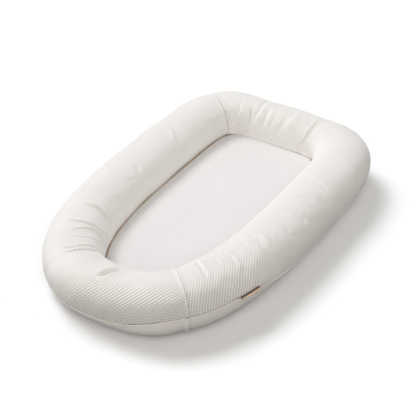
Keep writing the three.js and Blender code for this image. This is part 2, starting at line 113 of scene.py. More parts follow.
def angle_at(length):
    turns = np.floor(length / ring_length)
    return np.interp(length - turns * ring_length, ring_lengths, ring_angles) + turns * 2 * math.pi


def length_at(degrees):
    return float(np.interp(math.radians(degrees), ring_angles, ring_lengths))


seams = {
    "foot_left": length_at(246), "foot_right": length_at(-53.5),
    "head_right": length_at(84), "head_left": length_at(132.5)}


def rise(value, start, width):
    """0 well below a start and 1 well above it"""
    return 1 / (1 + np.exp((start - value) / width))


def fall(value, end, width):
    """1 well below an end and 0 well above it"""
    return 1 / (1 + np.exp((value - end) / width))


def mound(value, middle, reach, power=2):
    """1 at its middle and 0 well beyond its reach on both sides"""
    return np.exp(-(((value - middle) / reach) ** power))


def unit(arrows):
    return arrows / np.linalg.norm(arrows, axis=-1)[..., None]


def away_on_ring(length, place):
    return (length - place + ring_length / 2) % ring_length - ring_length / 2


def seam_valley(length):
    pulls = [mound(away_on_ring(length, seam), 0, seam_draw_reach) for seam in seams.values()]
    return seam_draw_in * np.maximum.reduce(pulls)


def bolster_point(length, turn, inset=0.0):
    """Places on the bolster: turn 0 is outermost, a quarter turn is the crest, half a turn the well"""
    angle = angle_at(length)
    outer, inner = outer_outline(angle), well_outline(angle)
    half = np.linalg.norm(outer - inner, axis=-1) / 2
    power = 2 / section_exponent
    across = (half - inset) * signed_power(np.cos(turn), power)
    height = middle_height + (middle_height - inset) * signed_power(np.sin(turn), power)
    place = (outer + inner) / 2 + unit(outer - inner) * across[..., None]
    return np.concatenate([place, height[..., None]], axis=-1)


def turn_at_height(height):
    return np.arcsin(signed_power((height - middle_height) / middle_height, section_exponent / 2))


# Folds: each runs through places (length along the ring in metres, turn in degrees). Then come its
# depth, its half width and how high the cloth puffs up beside it, in mm. A ridge's depth is below 0.
folds = [
    ([(2.089, 72), (2.0934, 82), (2.0994, 92), (2.1129, 104), (2.118, 109)], 9.2, 3.8, 2.8),
    ([(1.882, 82), (1.888, 96), (1.8945, 107), (1.9035, 126), (1.908, 149), (1.908, 167),
      (1.91, 182)], 10, 2.3, 3),
    ([(1.92, 86), (1.916, 106), (1.9185, 123), (1.9275, 141), (1.935, 153), (1.942, 174)], 8.8, 2.1, 2.4),
    ([(1.972, 72), (1.9755, 85), (1.98, 107), (1.9815, 129), (1.978, 152)], 6.2, 1.7, 1.8),
    ([(1.946, 84), (1.948, 100), (1.952, 120), (1.957, 142), (1.961, 160)], 2.4, 2.2, 0.8),
    ([(1.818, 92), (1.8235, 104), (1.833, 120), (1.8435, 132), (1.8495, 143), (1.855, 158)], 9.8, 2.7, 2.2),
    ([(1.812, 132), (1.79, 136), (1.7715, 137), (1.744, 138)], 2, 9, 0),
    ([(1.7, 118), (1.69, 126), (1.676, 132), (1.66, 134)], 1.8, 7, 0),
    ([(1.6185, 108), (1.629, 115), (1.638, 123), (1.648, 134)], 1.7, 4.2, 0.6),
    ([(1.446, 98), (1.452, 104), (1.467, 114), (1.481, 126)], -3, 6.5, 0),
    ([(1.424, 92), (1.442, 110), (1.4535, 123), (1.466, 142)], 2.6, 10.5, 0),
    ([(1.35, 96), (1.354, 118), (1.352, 132), (1.34, 152)], 2.6, 4.5, 1),
    ([(1.3, 112), (1.29, 124), (1.276, 140), (1.262, 158)], 2, 5, 0.8),
    ([(1.18, 108), (1.185, 126), (1.194, 141), (1.207, 160)], 2, 4.2, 0),
    ([(1.163, 96), (1.17, 114), (1.182, 141), (1.2015, 170)], -1.2, 6, 0),
    ([(1.144, 118), (1.14, 136), (1.1405, 152), (1.1415, 172)], 4.6, 3, 0),
    ([(1.106, 68), (1.1115, 85), (1.1145, 104), (1.116, 120), (1.126, 142), (1.134, 168)], 3.4, 4.2, 0),
    ([(1.098, 74), (1.1025, 90), (1.107, 126), (1.122, 155), (1.1265, 178)], -1.4, 6.4, 0),
    ([(1.088, 104), (1.0875, 140), (1.096, 172)], 2.2, 3.8, 0),
    ([(1.074, 96), (1.0755, 111), (1.0755, 146), (1.086, 176)], -1.2, 6, 0),
    ([(1.062, 126), (1.065, 150), (1.072, 176)], 1.8, 4.2, 0),
    ([(1.034, 104), (1.038, 132), (1.0425, 155), (1.0485, 184)], 2.8, 4.4, 0),
    ([(1.018, 94), (1.0245, 114), (1.03, 136), (1.036, 162)], 1.8, 4.6, 0),
    ([(1.0135, 84), (1.016, 100), (1.0185, 128), (1.0245, 158)], -1.2, 8, 0),
    ([(0.99, 118), (0.992, 140), (0.998, 166)], 1.4, 5, 0),
    ([(0.884, 114), (0.882, 126), (0.8775, 139), (0.881, 160)], -1.2, 7, 0),
    ([(0.868, 108), (0.862, 126), (0.858, 146)], 1.4, 5, 0),
    ([(0.22, 114), (0.221, 100), (0.222, 89), (0.2235, 66)], -2.4, 4, 0),
    ([(0.211, 114), (0.2135, 98), (0.215, 86), (0.216, 66)], 4.2, 3, 0),
    ([(0.2415, 118), (0.2655, 116), (0.2835, 110)], 1.8, 3.6, 0.6),
    ([(0.252, 104), (0.256, 94), (0.258, 80)], 2, 3.4, 0.6),
    ([(0.279, 106), (0.291, 90), (0.2935, 76), (0.292, 58)], 2.8, 3.6, 0.4),
    ([(0.2835, 110), (0.2985, 89), (0.3, 75), (0.2985, 56)], -1.6, 4.8, 0),
    ([(0.338, 108), (0.34, 98), (0.342, 84)], 2, 3.6, 0.6),
    ([(0.371, 108), (0.379, 84), (0.373, 62)], 2.6, 4, 0.4),
    ([(0.392, 100), (0.3985, 80), (0.3955, 70), (0.391, 54)], -1.8, 6.2, 0),
    ([(0.474, 84), (0.4695, 74), (0.4605, 53), (0.456, 38)], 1.6, 4.6, 0),
    ([(0.512, 94), (0.519, 80), (0.5235, 62), (0.512, 40)], 2.8, 4, 0.6),
    ([(0.522, 60), (0.5265, 48), (0.533, 30)], 3, 4.5, 0),
    ([(0.51, 48), (0.5145, 30), (0.525, 8)], -1.6, 7, 0),
    ([(0.566, 92), (0.572, 76), (0.576, 60)], 2.4, 4, 0.8),
    ([(0.652, 122), (0.645, 92), (0.64, 58)], 2.6, 4, 0.8),
    ([(0.75, 34), (0.738, 16), (0.722, -4)], 2.6, 5, 0.8),
    ([(0.251, 54), (0.258, 45), (0.266, 32)], 2.4, 7.5, 0),
    ([(0.294, 54), (0.3015, 45), (0.31, 32)], 2.6, 7.5, 0),
    ([(0.368, 52), (0.375, 43), (0.384, 30)], 2.8, 8, 0),
    ([(0.459, 48), (0.4665, 38), (0.476, 26)], 2.8, 8, 0),
    ([(0.594, 56), (0.6015, 46), (0.61, 32)], 2.8, 8, 0),
]
widest_crease = 6  # mm: below this half width a fold has a sharp valley, and above it a soft one
fold_points = 48


def along_fold(places):
    """Points every few millimetres along a fold on the plain bolster, and the fold's strength there"""
    knots = np.array(places)
    share = np.linspace(0, 1, fold_points)
    at = np.linspace(0, 1, len(knots))
    soften = np.ones(7) / 7
    length, turn = (
        np.convolve(np.pad(np.interp(share, at, values), 3, mode="edge"), soften, mode="valid")
        for values in (knots[:, 0], np.radians(knots[:, 1])))
    return bolster_point(length, turn), np.sin(math.pi * (0.06 + 0.94 * share)) ** 0.6


def fold_inset(plain):
    """How deep the folds push the cloth in at each place of the plain bolster"""
    inset = np.zeros(plain.shape[:-1])
    for places, *sizes in folds:
        depth, width, puff = (0.001 * size for size in sizes)
        line, strength = along_fold(places)
        near = np.all((plain > line.min(0) - 8 * width) & (plain < line.max(0) + 8 * width), axis=-1)
        if not near.any():
            continue
        gaps = np.linalg.norm(plain[near][:, None] - line[None], axis=-1)
        nearest = gaps.argmin(axis=1)
        gap = gaps[np.arange(len(nearest)), nearest]
        if depth > 0 and sizes[1] < widest_crease:
            valley = depth * np.exp(-(np.sqrt(gap**2 + (0.35 * width) ** 2) - 0.35 * width) / width)
        else:
            valley = depth * mound(gap, 0, width)
        ridge = puff * mound(gap, 2.6 * width, 1.5 * width)
        inset[near] += (valley - ridge) * strength[nearest]
    return inset


def waves(place, size, count, seed):
    """Smooth random lumps between about -1 and 1, of a given size"""
    draw = np.random.default_rng(seed)
    directions = draw.normal(size=(count, 3))
    pitches = 2 * math.pi / size / np.linalg.norm(directions, axis=1) * draw.uniform(0.6, 1.4, count)
    directions *= pitches[:, None]
    phases = draw.uniform(0, 2 * math.pi, count)
    return np.cos(place @ directions.T + phases).sum(axis=-1) / math.sqrt(count)


def corner_share(length):
    """How much the ring bends inwards at a place: 1 in the well's corners, 0 on its straight sides"""
    corners = [(0.10, 1.0), (0.905, 0.3), (1.205, 0.6), (1.95, 1.0)]
    pulls = [pull * mound(away_on_ring(length, corner), 0, 0.075) for corner, pull in corners]
    return np.maximum.reduce(pulls)


def head_end(length):
    """1 along the well's head end, where the bolster's cover hangs over the crease, and 0 elsewhere"""
    return rise(length, 0.908, 0.008) * fall(length, 1.226, 0.008)


def soft_inset(length, turn, plain):
    """Everything that makes the filled bolster uneven: seams, folds, gathers and lumps"""
    degrees = np.degrees(turn)
    outer_flank = rise(degrees, 20, 5) * fall(degrees, 90, 4)
    at_head = mound(away_on_ring(length, 1.1), 0, 0.24, 8)
    inset = seam_valley(length) * (1 - 0.8 * outer_flank * at_head) + fold_inset(plain)
    by_crease = np.exp(-np.maximum(math.pi - turn, 0) / gather_reach)
    gathers = np.cos(2 * math.pi * length / gather_pitch + 1.6 * waves(plain, 0.05, 10, 3))
    inset -= gather_depth * gathers * by_crease * (0.12 + corner_share(length))
    inset += 0.0009 * waves(plain, 0.13, 14, 5) + 0.00035 * waves(plain, 0.045, 18, 7)
    inset += 0.00034 * waves(plain, 0.021, 30, 9) * mound(degrees, 88, 44, 4) * (1 - corner_share(length))
    return inset


def turn_outwards(mesh):
    """Turns a closed form's faces outwards, by the sign of the volume that they hold"""
    mesh.calc_loop_triangles()
    corners = np.zeros(len(mesh.vertices) * 3)
    mesh.vertices.foreach_get("co", corners)
    index = np.zeros(len(mesh.loop_triangles) * 3, int)
    mesh.loop_triangles.foreach_get("vertices", index)
    a, b, c = corners.reshape(-1, 3)[index.reshape(-1, 3)].transpose(1, 0, 2)
    if (a * np.cross(b, c)).sum() < 0:
        mesh.flip_normals()


def mesh_piece(name, points, faces, cloth_map=None, fullness_and_shade=None):
    """A piece from points and faces, with the lay of its cloth and how far its weave stands up, which also
    sets the shade painted into its weave's pits
    """
    mesh = bpy.data.meshes.new(name)
    mesh.from_pydata(points.tolist(), [], faces if isinstance(faces, list) else faces.tolist())
    if fullness_and_shade is not None:
        layer = mesh.attributes.new("fullness_and_shade", "FLOAT", "POINT")
        layer.data.foreach_set("value", fullness_and_shade.astype(np.float32))
    if cloth_map is not None:
        loops = np.zeros(len(mesh.loops), int)
        mesh.loops.foreach_get("vertex_index", loops)
        layer = mesh.uv_layers.new(name="cloth")
        layer.data.foreach_set("uv", cloth_map[loops].astype(np.float32).ravel())
    mesh.validate()
    turn_outwards(mesh)
    mesh.shade_smooth()
    piece = bpy.data.objects.new(name, mesh)
    bpy.context.scene.collection.objects.link(piece)
    return piece


def grid_faces(rows, columns, start=0, flip=False, wrap=False, ring=False):
    """Four-sided faces over a grid of points, closed along its columns by wrap and its rows by ring"""
    last_row, last_column = rows if ring else rows - 1, columns if wrap else columns - 1
    i, j = np.meshgrid(np.arange(last_row), np.arange(last_column), indexing="ij")
    below, beside = (i + 1) % rows, (j + 1) % columns
    corners = [i * columns + j, below * columns + j, below * columns + beside, i * columns + beside]
    faces = np.stack([c.ravel() for c in corners], axis=1) + start
    return faces[:, ::-1] if flip else faces


def capped_piece(name, skin, first_middle, last_middle):
    """A closed form from rows of points that go round it, with a middle point at either end"""
    rows, columns = skin.shape[:2]
    faces = grid_faces(rows, columns, wrap=True, flip=True).tolist()
    for row, middle, order in ((0, rows * columns, -1), (rows - 1, rows * columns + 1, 1)):
        for column in range(columns):
            here, there = row * columns + column, row * columns + (column + 1) % columns
            faces.append([middle, here, there][::order])
    return mesh_piece(name, np.vstack([skin.reshape(-1, 3), [first_middle, last_middle]]), faces)


roll_start = seams["head_left"] + roll_end_gap
roll_stations = np.linspace(roll_start, roll_start + ring_length - 2 * roll_end_gap, 420)
roll_turns = np.linspace(-math.pi, math.pi, 97)[:-1]
roll_length, roll_turn = np.meshgrid(roll_stations, roll_turns, indexing="ij")
roll_end = np.minimum(roll_length - roll_stations[0], roll_stations[-1] - roll_length)
rounding = roll_end_rounding * np.exp(-2 * roll_end / roll_end_rounding)
uneven = soft_inset(roll_length, np.abs(roll_turn), bolster_point(roll_length, roll_turn))
roll_skin = bolster_point(roll_length, roll_turn, uneven + roll_gap + rounding)
roll_skin[..., 2] = np.maximum(roll_skin[..., 2], rest_level + 0.0004)
roll = capped_piece("roll_of_wadding", roll_skin, *roll_skin[[0, -1]].mean(axis=1))


def paint(code):
    """A colour written as web hex, as the linear values that a shader takes"""
    parts = [int(code[i:i + 2], 16) / 255 for i in (1, 3, 5)]
    return [p / 12.92 if p <= 0.04045 else ((p + 0.055) / 1.055) ** 2.4 for p in parts] + [1.0]


class Wire:
    """One socket of a shader, with arithmetic that adds Math nodes"""

    def __init__(self, nodes, socket):
        self.nodes = nodes
        self.socket = socket

    def also(self, output):
        """Another output of the same node"""
        return Wire(self.nodes, self.socket.node.outputs[output])

    def math(self, operation, *values):
        return self.nodes.add("ShaderNodeMath", {"operation": operation}, dict(enumerate(values)))

    def __add__(self, other):
        return self.math("ADD", self, other)

    def __sub__(self, other):
        return self.math("SUBTRACT", self, other)

    def __rsub__(self, other):
        return self.math("SUBTRACT", other, self)

    def __mul__(self, other):
        return self.math("MULTIPLY", self, other)

    def __truediv__(self, other):
        return self.math("DIVIDE", self, other)

    __radd__ = __add__
    __rmul__ = __mul__


class Nodes:
    """The nodes of a material or of the world: add() makes one, its settings first and then its sockets"""

    def __init__(self, tree):
        self.tree = tree

    def add(self, kind, settings, sockets, output=0):
        node = self.tree.nodes.new(kind)
        for key, value in settings.items():
            setattr(node, key, value)
        for key, value in sockets.items():
            self.put(node, key, value)
        return Wire(self, node.outputs[output])

    def put(self, node, key, value):
        if isinstance(value, Wire):
            self.tree.links.new(value.socket, node.inputs[key])
        else:
            node.inputs[key].default_value = value

    def axes(self, place):
        first = self.add("ShaderNodeSeparateXYZ", {}, {0: place})
        return [first.also(axis) for axis in range(3)]

    def looked_at(self):
        """1 for what the camera sees, by itself or through glass or in metal, and 0 for plain light"""
        camera_ray = self.add("ShaderNodeLightPath", {}, {}, "Is Camera Ray")
        seen = camera_ray.math("MAXIMUM", camera_ray, camera_ray.also("Is Glossy Ray"))
        return seen.math("MAXIMUM", seen, camera_ray.also("Is Transmission Ray"))


class Finish(Nodes):
    """The material of a piece, with its colour and its bump"""

    def __init__(self, name, roughness, sheen=0.0, metallic=0.0):
        self.material = bpy.data.materials.new(name)
        self.material.use_nodes = True
        super().__init__(self.material.node_tree)
        self.shader = self.tree.nodes["Principled BSDF"]
        self.shader.inputs["Roughness"].default_value = roughness
        self.shader.inputs["Sheen Weight"].default_value = sheen
        self.shader.inputs["Metallic"].default_value = metallic

    def place(self):
        return self.add("ShaderNodeTexCoord", {}, {}, "Object")

    def noise(self, size, detail):
        sockets = {"Vector": self.place(), "Scale": 1 / size, "Detail": detail}
        return self.add("ShaderNodeTexNoise", {}, sockets)

    def mix(self, share, low, high):
        return self.add("ShaderNodeMix", {"data_type": "RGBA"}, {0: share, 6: low, 7: high}, 2)

    def colour(self, share, dark, light):
        self.put(self.shader, "Base Color", self.mix(share, paint(dark), paint(light)))

    def bump(self, height, depth):
        normal = self.add("ShaderNodeBump", {}, {"Height": height, "Distance": depth, "Strength": 1.0})
        self.put(self.shader, "Normal", normal)

    def wear(self, *pieces):
        for piece in pieces:
            if not piece.material_slots:
                piece.data.materials.append(self.material)
            for slot in piece.material_slots:
                slot.material = self.material


def mottled(name, roughness, sheen, patches, dark, light, grain, depth):
    """A finish of two tones in patches and a bumpy grain, each with its size and its detail"""
    finish = Finish(name, roughness, sheen)
    finish.colour(finish.noise(*patches), dark, light)
    finish.bump(finish.noise(*grain), depth)
    return finish


wadding = mottled("wadding casing", 0.95, 0.2, (0.012, 4), "#efede8", "#fbfaf7", (0.004, 3), 0.0006)
wadding.wear(roll)
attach(roll, "lounger")
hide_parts("bolster_roll")


# Mattress pad: a wadding pad under the top sheet, crowned above, full at its sides and drawn in at
# its edges. Underneath it gives way over the zip.
sheet_underside = 0.0505
mattress_crown = 0.005
pad_gap = 0.0003
zip_line = 0.190
zip_half_length = 0.132
zip_reach = 0.0145  # from the zip's middle to the edge of its tapes
zip_room = 0.0093  # height of the hollow above the floor
pad_side = [  # share of the way up the pad's side, and how far it is drawn in there
    (0.00, 0.0040), (0.06, 0.0016), (0.16, 0.0003), (0.50, 0.0),
    (0.84, 0.0003), (0.94, 0.0012), (1.00, 0.0036)]
well_middle = np.array([0, (well_head_end + well_foot_end) / 2])
rim_angles = angle_at(np.linspace(0, ring_length, 361)[:-1])
pad_top = sheet_underside - pad_gap
pad_low = rest_level + pad_gap
under_sheet = 0.0002  # how far the pad's crown stays below the sheet


def well_rim(angles, inset, share):
    """The well's rim drawn in by an inset, and then towards the well's middle by a share"""
    outer, inner = outer_outline(angles), well_outline(angles)
    return well_middle + (inner + unit(inner - outer) * inset - well_middle) * share


def crown(share):
    return mattress_crown * (1 - share**2.5)


def over_zip(place):
    away_x = np.abs(place[:, 0]) - zip_half_length
    away_y = np.abs(place[:, 1] - zip_line) - zip_reach
    away = np.maximum(np.maximum(away_x, away_y) - 0.002, 0)
    return (zip_room - rest_level) * mound(away, 0, 0.008)


rims = []
for share in np.linspace(0.04, 1, 26)[:-1]:
    rim = well_rim(rim_angles, pad_side[0][1], share)
    rims.append(np.column_stack([rim, pad_low + over_zip(rim)]))
for share, inset in pad_side:
    rim = well_rim(rim_angles, pad_gap + inset, 1.0)
    rims.append(np.column_stack([rim, np.full(len(rim), pad_low + (pad_top - pad_low) * share)]))
for share in np.linspace(1, 0.04, 26)[1:]:
    rim = well_rim(rim_angles, pad_gap + pad_side[-1][1], share)
    rims.append(np.column_stack([rim, np.full(len(rim), pad_top + crown(share) - under_sheet)]))
pad = capped_piece(
    "pad_of_wadding", np.array(rims),
    [0, well_middle[1], pad_low], [0, well_middle[1], pad_top + mattress_crown - under_sheet])
wadding.wear(pad)
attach(pad, "lounger")
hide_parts("mattress_pad")


# Channel wall: a strip of lining from the crease down to the base cloth, which keeps roll and pad
# apart. It is left open at the head end, where the roll is drawn out.
wall_thickness = 0.0008
wall_top = 0.04945
wall_step = 0.004


def shell(name, outer, inner, cloth_map, fullness_and_shade=None):
    """A closed sheet of cloth from the grids of its outside and its inside"""
    rows, columns = outer.shape[:2]
    count = rows * columns
    index = np.arange(count).reshape(rows, columns)
    rim = np.concatenate([index[0, :-1], index[:-1, -1], index[-1, :0:-1], index[:0:-1, 0]])
    after = np.roll(rim, -1)
    sides = np.stack([rim, rim + count, after + count, after], axis=1)
    front, behind = grid_faces(rows, columns), grid_faces(rows, columns, count, flip=True)
    faces = np.vstack([front, behind, sides[:, ::-1]])
    points = np.vstack([outer.reshape(-1, 3), inner.reshape(-1, 3)])
    full = None if fullness_and_shade is None else np.tile(fullness_and_shade.ravel(), 2)
    return mesh_piece(name, points, faces, np.vstack([cloth_map.reshape(-1, 2)] * 2), full)


def plain_cloth(name, light, dark, thread):
    """A plain weave: crossing threads of one pitch, with slow changes of tone"""
    finish = Finish(name, 0.9, 0.15)
    x, y, z = finish.axes(finish.place())
    turn = 2 * math.pi / thread
    along = x.math("SINE", x * turn + z * (0.7 * turn))
    across = y.math("SINE", y * turn + z * (0.7 * turn))
    weave = along * across * 0.5 + 0.5
    finish.colour(finish.noise(0.06, 3) * 0.7 + weave * 0.3, dark, light)
    finish.bump(weave, 0.00012)
    return finish


wall_stations = np.arange(length_at(105), length_at(75) + ring_length, wall_step)
wall_length, wall_height = np.meshgrid(wall_stations, np.linspace(rest_level, wall_top, 14), indexing="ij")
wall_angle = angle_at(wall_length)
wall_inner = well_outline(wall_angle)
wall_outer = wall_inner + unit(outer_outline(wall_angle) - wall_inner) * wall_thickness
wall_inside, wall_outside = (
    np.concatenate([side, wall_height[..., None]], axis=-1) for side in (wall_inner, wall_outer))
wall = shell("lining_wall", wall_outside, wall_inside, np.stack([wall_length, wall_height], axis=-1))
lining = plain_cloth("cotton lining", "#eeebe5", "#e2ded7", 0.0009)
lining.wear(wall)
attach(wall, "lounger")
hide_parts("channel_wall")


# Base cloth: two flat pieces of cotton, butted and sewn together across the middle of the zip's line.
# Beside the zip each one is folded up into a lip, to which the zip's tape is sewn.
base_thickness = 0.0015
lip_away = 0.01375  # from the zip's middle to the middle of the lip
lip_height = 0.0056
recess_half = 0.1325
recess_seam = 0.00015
tip_gap = 0.0003  # how far the cloth stops short of the ring's tip
lip_curve = 0.0006  # how far the lip's foot curves towards the zip


def thicken(piece, thickness):
    """Gives a sheet its thickness, half to either side"""
    solid = piece.modifiers.new("thickness", "SOLIDIFY")
    solid.thickness = thickness
    solid.offset = 0
    bpy.context.view_layer.objects.active = piece
    bpy.ops.object.modifier_apply(modifier="thickness")
    turn_outwards(piece.data)


def base_cloth(name, side):
    """One part of the base cloth: side is 1 towards the head and -1 towards the foot"""
    edge_lengths = np.linspace(0, ring_length / 2, 1201)
    edge = bolster_point(edge_lengths, np.full(edge_lengths.shape, turn_at_height(rest_level)))[:, :2]
    tip = edge[-1, 1] if side > 0 else edge[0, 1]
    reach = abs(tip - zip_line) - tip_gap
    lip = [recess_seam + (lip_away - recess_seam) * share for share in np.linspace(0, 1, 7)]
    rest = lip_away + (reach - lip_away) * np.sin(np.linspace(0, quarter_turn, 61)[1:])
    away = np.concatenate([lip, rest])
    away[-1] = reach
    height = zip_line + side * away
    wide = np.interp(height, edge[:, 1], edge[:, 0])
    follow = np.clip((away - 0.02) / 0.06, 0, 1)
    inner_wide = recess_half * ((1 - follow) + follow * wide / wide[0])
    middle = np.linspace(-1, 1, 67)
    outer = np.concatenate([[0.0075], np.linspace(0.05, 1, 14)])
    grid = []
    for row in range(len(away)):
        flank = inner_wide[row] + (wide[row] - inner_wide[row]) * outer
        x = np.concatenate([-flank[::-1], middle * inner_wide[row], flank])
        y = np.full(x.shape, height[row])
        z = np.full(x.shape, base_thickness / 2)
        if row < len(lip):
            down_lip = row / (len(lip) - 1)
            folded = np.abs(x) <= inner_wide[row] + 1e-6
            y[folded] = zip_line + side * (lip_away - lip_curve * down_lip**3)
            z[folded] += (lip_height - base_thickness / 2) * (1 - down_lip**0.8)
        grid.append(np.column_stack([x, y, z]))
    grid = np.array(grid)
    faces = grid_faces(*grid.shape[:2], flip=side < 0)
    piece = mesh_piece(name, grid.reshape(-1, 3), faces, grid[..., :2].reshape(-1, 2))
    thicken(piece, base_thickness)
    lining.wear(piece)
    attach(piece, "lounger")
    return piece


base_head = base_cloth("base_cotton_head", 1)
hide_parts("base_cloth_head")
base_foot = base_cloth("base_cotton_foot", -1)
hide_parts("base_cloth_foot")


# Zip tapes: two narrow herringbone tapes with a bead along the edge that carries the teeth. Each one
# is sewn to the lip of its base cloth.
tape_inner = 0.0033
tape_bottom, tape_top = 0.0059, 0.0067
tape_bead = 0.00012
herringbone = Finish("herringbone tape", 0.85, 0.15)
x, y, _ = herringbone.axes(herringbone.place())
across = y / 0.0022
along = x / 0.0011
slope = across.math("PINGPONG", across, 0.5)
twill = along.math("FRACT", along + slope * 2)
ridge = 1 - twill.math("ABSOLUTE", twill * 2 - 1)
herringbone.colour(ridge, "#c9c3b7", "#e3ddd1")
herringbone.bump(ridge, 0.00015)
for name, side in (("head", 1), ("foot", -1)):
    x, away = np.meshgrid(
        np.linspace(-zip_half_length, zip_half_length, 133),
        np.linspace(tape_inner, zip_reach, 13), indexing="ij")
    bead = tape_bead * mound(away, tape_inner + 0.0007, 0.0006)
    y = zip_line + side * away
    top = np.stack([x, y, tape_top + bead - tape_bead], axis=-1)
    under = np.stack([x, y, tape_bottom - bead + tape_bead], axis=-1)
    tape = shell(f"woven_tape_{name}", top, under, np.stack([x, away], axis=-1))
    herringbone.wear(tape)
    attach(tape, "lounger")
    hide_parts(f"zip_tape_{name}")


# Zip chains, stops, slider and pull: cream moulded teeth on a core, and plain nickel-grey metal. The
# slider rides on the chain, and the pull swings on the slider's bridge.
moulded = mottled("moulded teeth", 0.42, 0.0, (0.004, 2), "#d6d0c4", "#e4dfd4", (0.0008, 2), 0.00004)
moulded.wear(frame["nodes"]["zip_chain_head"], frame["nodes"]["zip_chain_foot"])
nickel = Finish("nickel-grey metal", 0.32, metallic=1.0)
scratches = nickel.noise(0.0006, 4)
nickel.colour(scratches, "#a9a7a2", "#c6c4be")
nickel.put(nickel.shader, "Roughness", scratches * 0.18 + 0.26)
nickel.bump(nickel.noise(0.0004, 3), 0.00002)
nickel.wear(*[frame["nodes"][name] for name in (
    "zip_slider", "zip_pull", "zip_bottom_stop", "zip_top_stop_head", "zip_top_stop_foot")])


# Bolster covers: four panels of white knit with a thin backing, drawn tight over the roll. They are
# sewn to each other across the bolster, to the base band outside and to the mattress in the crease.
rib_pitch = 0.00565
cover_thickness = 0.002
cover_edge_height = 0.04975
overhang_depth = 0.0074  # how far the cover hangs over the crease at the head end
seam_cord_radius = 0.0008
cord_clearance = 0.0002
edge_roll = 0.0022  # how the cloth rolls over into a seam
cord_roll = 0.0006
seam_gap = 0.00005
fine_places = [0, 0.0003, 0.0008, 0.0015, 0.0024, 0.0036]  # from an edge, where the cloth rolls over
panel_girth = 0.19  # about the way round a panel, across its length
pucker_depth = 0.0046  # of the puckers along the foot's left seam
pucker_pitch = 6.2  # degrees of turn
outer_seam_low = 0.038  # height of the outer seam, which rises towards the foot's right
outer_seam_lift = 0.031
lift_middle, lift_reach = math.radians(-48), math.radians(34)


def outer_seam_height(angle):
    away = np.arctan2(np.sin(angle - lift_middle), np.cos(angle - lift_middle))
    return outer_seam_low + outer_seam_lift * mound(away, 0, lift_reach, 4)


def spread(length, step):
    """Shares of a length, in even steps but fine at both ends"""
    fine = np.array(fine_places) / length
    inner = np.linspace(fine[-1], 1 - fine[-1], max(3, int(length / step)))
    return np.concatenate([fine[:-1], inner, 1 - fine[:-1][::-1]])


def rolled_edge(gap, roll, ridge):
    """How far a cloth drops as it rolls over into a seam, with the ridge that it makes beside it"""
    short = np.clip(roll - gap, 0, roll)
    curl = roll - np.sqrt(np.maximum(roll**2 - short**2, 0))
    return curl - ridge * mound(gap, roll + 0.0016, 0.0024)


seam_ways = {  # how far each seam strays along the ring, at these turns in degrees
    "foot_left": ([26, 59, 83, 101, 125, 146, 180], [-0.007, 0.002, 0.005, 0.0125, 0.024, 0.020, 0.012]),
    "foot_right": ([30, 67, 88, 107, 140], [0.007, 0.002, -0.003, -0.007, -0.011]),
    "head_right": (
        [86, 107, 125, 142, 162, 178, 188], [0.0025, -0.0065, -0.008, -0.008, -0.002, 0.0085, 0.015]),
    "head_left": ([86, 135, 167, 180], [0.004, 0.004, 0.001, -0.0005])}
seam_pulls = {  # how deep the cloth rolls into each seam, at these turns in degrees
    "foot_left": ([70, 82, 92, 140, 165], [0.0002, 0.0012, 0.0034, 0.0036, 0.0020]),
    "foot_right": ([30, 50, 75, 110], [0.0003, 0.0004, 0.0006, 0.0009]),
    "head_right": ([76, 92, 110, 165, 180], [0.0005, 0.0026, 0.0042, 0.0036, 0.0016]),
    "head_left": ([76, 90, 104, 150, 175], [0.0005, 0.0024, 0.0044, 0.0046, 0.0036])}
seam_ridges = {  # height of the ridge on each panel, at its first and its second seam
    "foot": (0.0006, 0.0036), "right": (0.0004, 0.0026), "head": (0.0012, 0.0022), "left": (0.0022, 0.0026)}
ridge_starts = {"foot_left": 80, "foot_right": -60, "head_right": 88, "head_left": 88}  # turns in degrees
panels = {
    "foot": ("foot_left", "foot_right"), "right": ("foot_right", "head_right"),
    "head": ("head_right", "head_left"), "left": ("head_left", "foot_left")}


def along_seam(table, seam, turn):
    """A seam's value from a table at each turn, softened between the table's places"""
    degrees = np.degrees(turn)
    return sum(np.interp(degrees + shift, *table[seam]) for shift in (-9, -3, 3, 9)) / 4


def panel_grid(panel, low_turn, high_turn, step, turn_steps):
    """Length and turn of each point of a panel, its share of the length, and its way round the roll"""
    first, second = panels[panel]
    start, end = seams[first], seams[second]
    if end < start:
        end += ring_length
    share = spread(end - start, step)[:, None]
    middle_angles = angle_at(start + share * (end - start))
    low, high = low_turn(middle_angles), high_turn(middle_angles)
    turn = low + (high - low) * spread(panel_girth, panel_girth / turn_steps)
    length = (start + seam_gap) + share * (end - start - 2 * seam_gap)
    length = length + along_seam(seam_ways, first, turn) * (1 - share)
    length = length + along_seam(seam_ways, second, turn) * share
    plain = bolster_point(length, turn)
    stretches = np.linalg.norm(np.diff(plain, axis=1), axis=-1)
    around = np.concatenate([np.zeros((len(length), 1)), np.cumsum(stretches, axis=1)], axis=1)
    return length, turn, share, plain, around


def seam_curl(panel, share, length, turn):
    """The rolled edges at both of a panel's seams to its neighbours, gathered at the foot's left seam"""
    degrees = np.degrees(turn)
    panel_length = length[-1].mean() - length[0].mean()
    curl = np.zeros(turn.shape)
    for seam, height, away in zip(panels[panel], seam_ridges[panel], (share, 1 - share)):
        gap = away * panel_length
        ridge = height * rise(degrees, ridge_starts[seam], 5)
        curl += rolled_edge(gap, along_seam(seam_pulls, seam, turn), ridge)
        if seam == "foot_left":
            puckers = 0.45 + 0.55 * np.cos(2 * math.pi * degrees / pucker_pitch)
            curl += pucker_depth * mound(degrees, 112, 34, 4) * puckers * mound(gap, 0, 0.0028)
    return curl


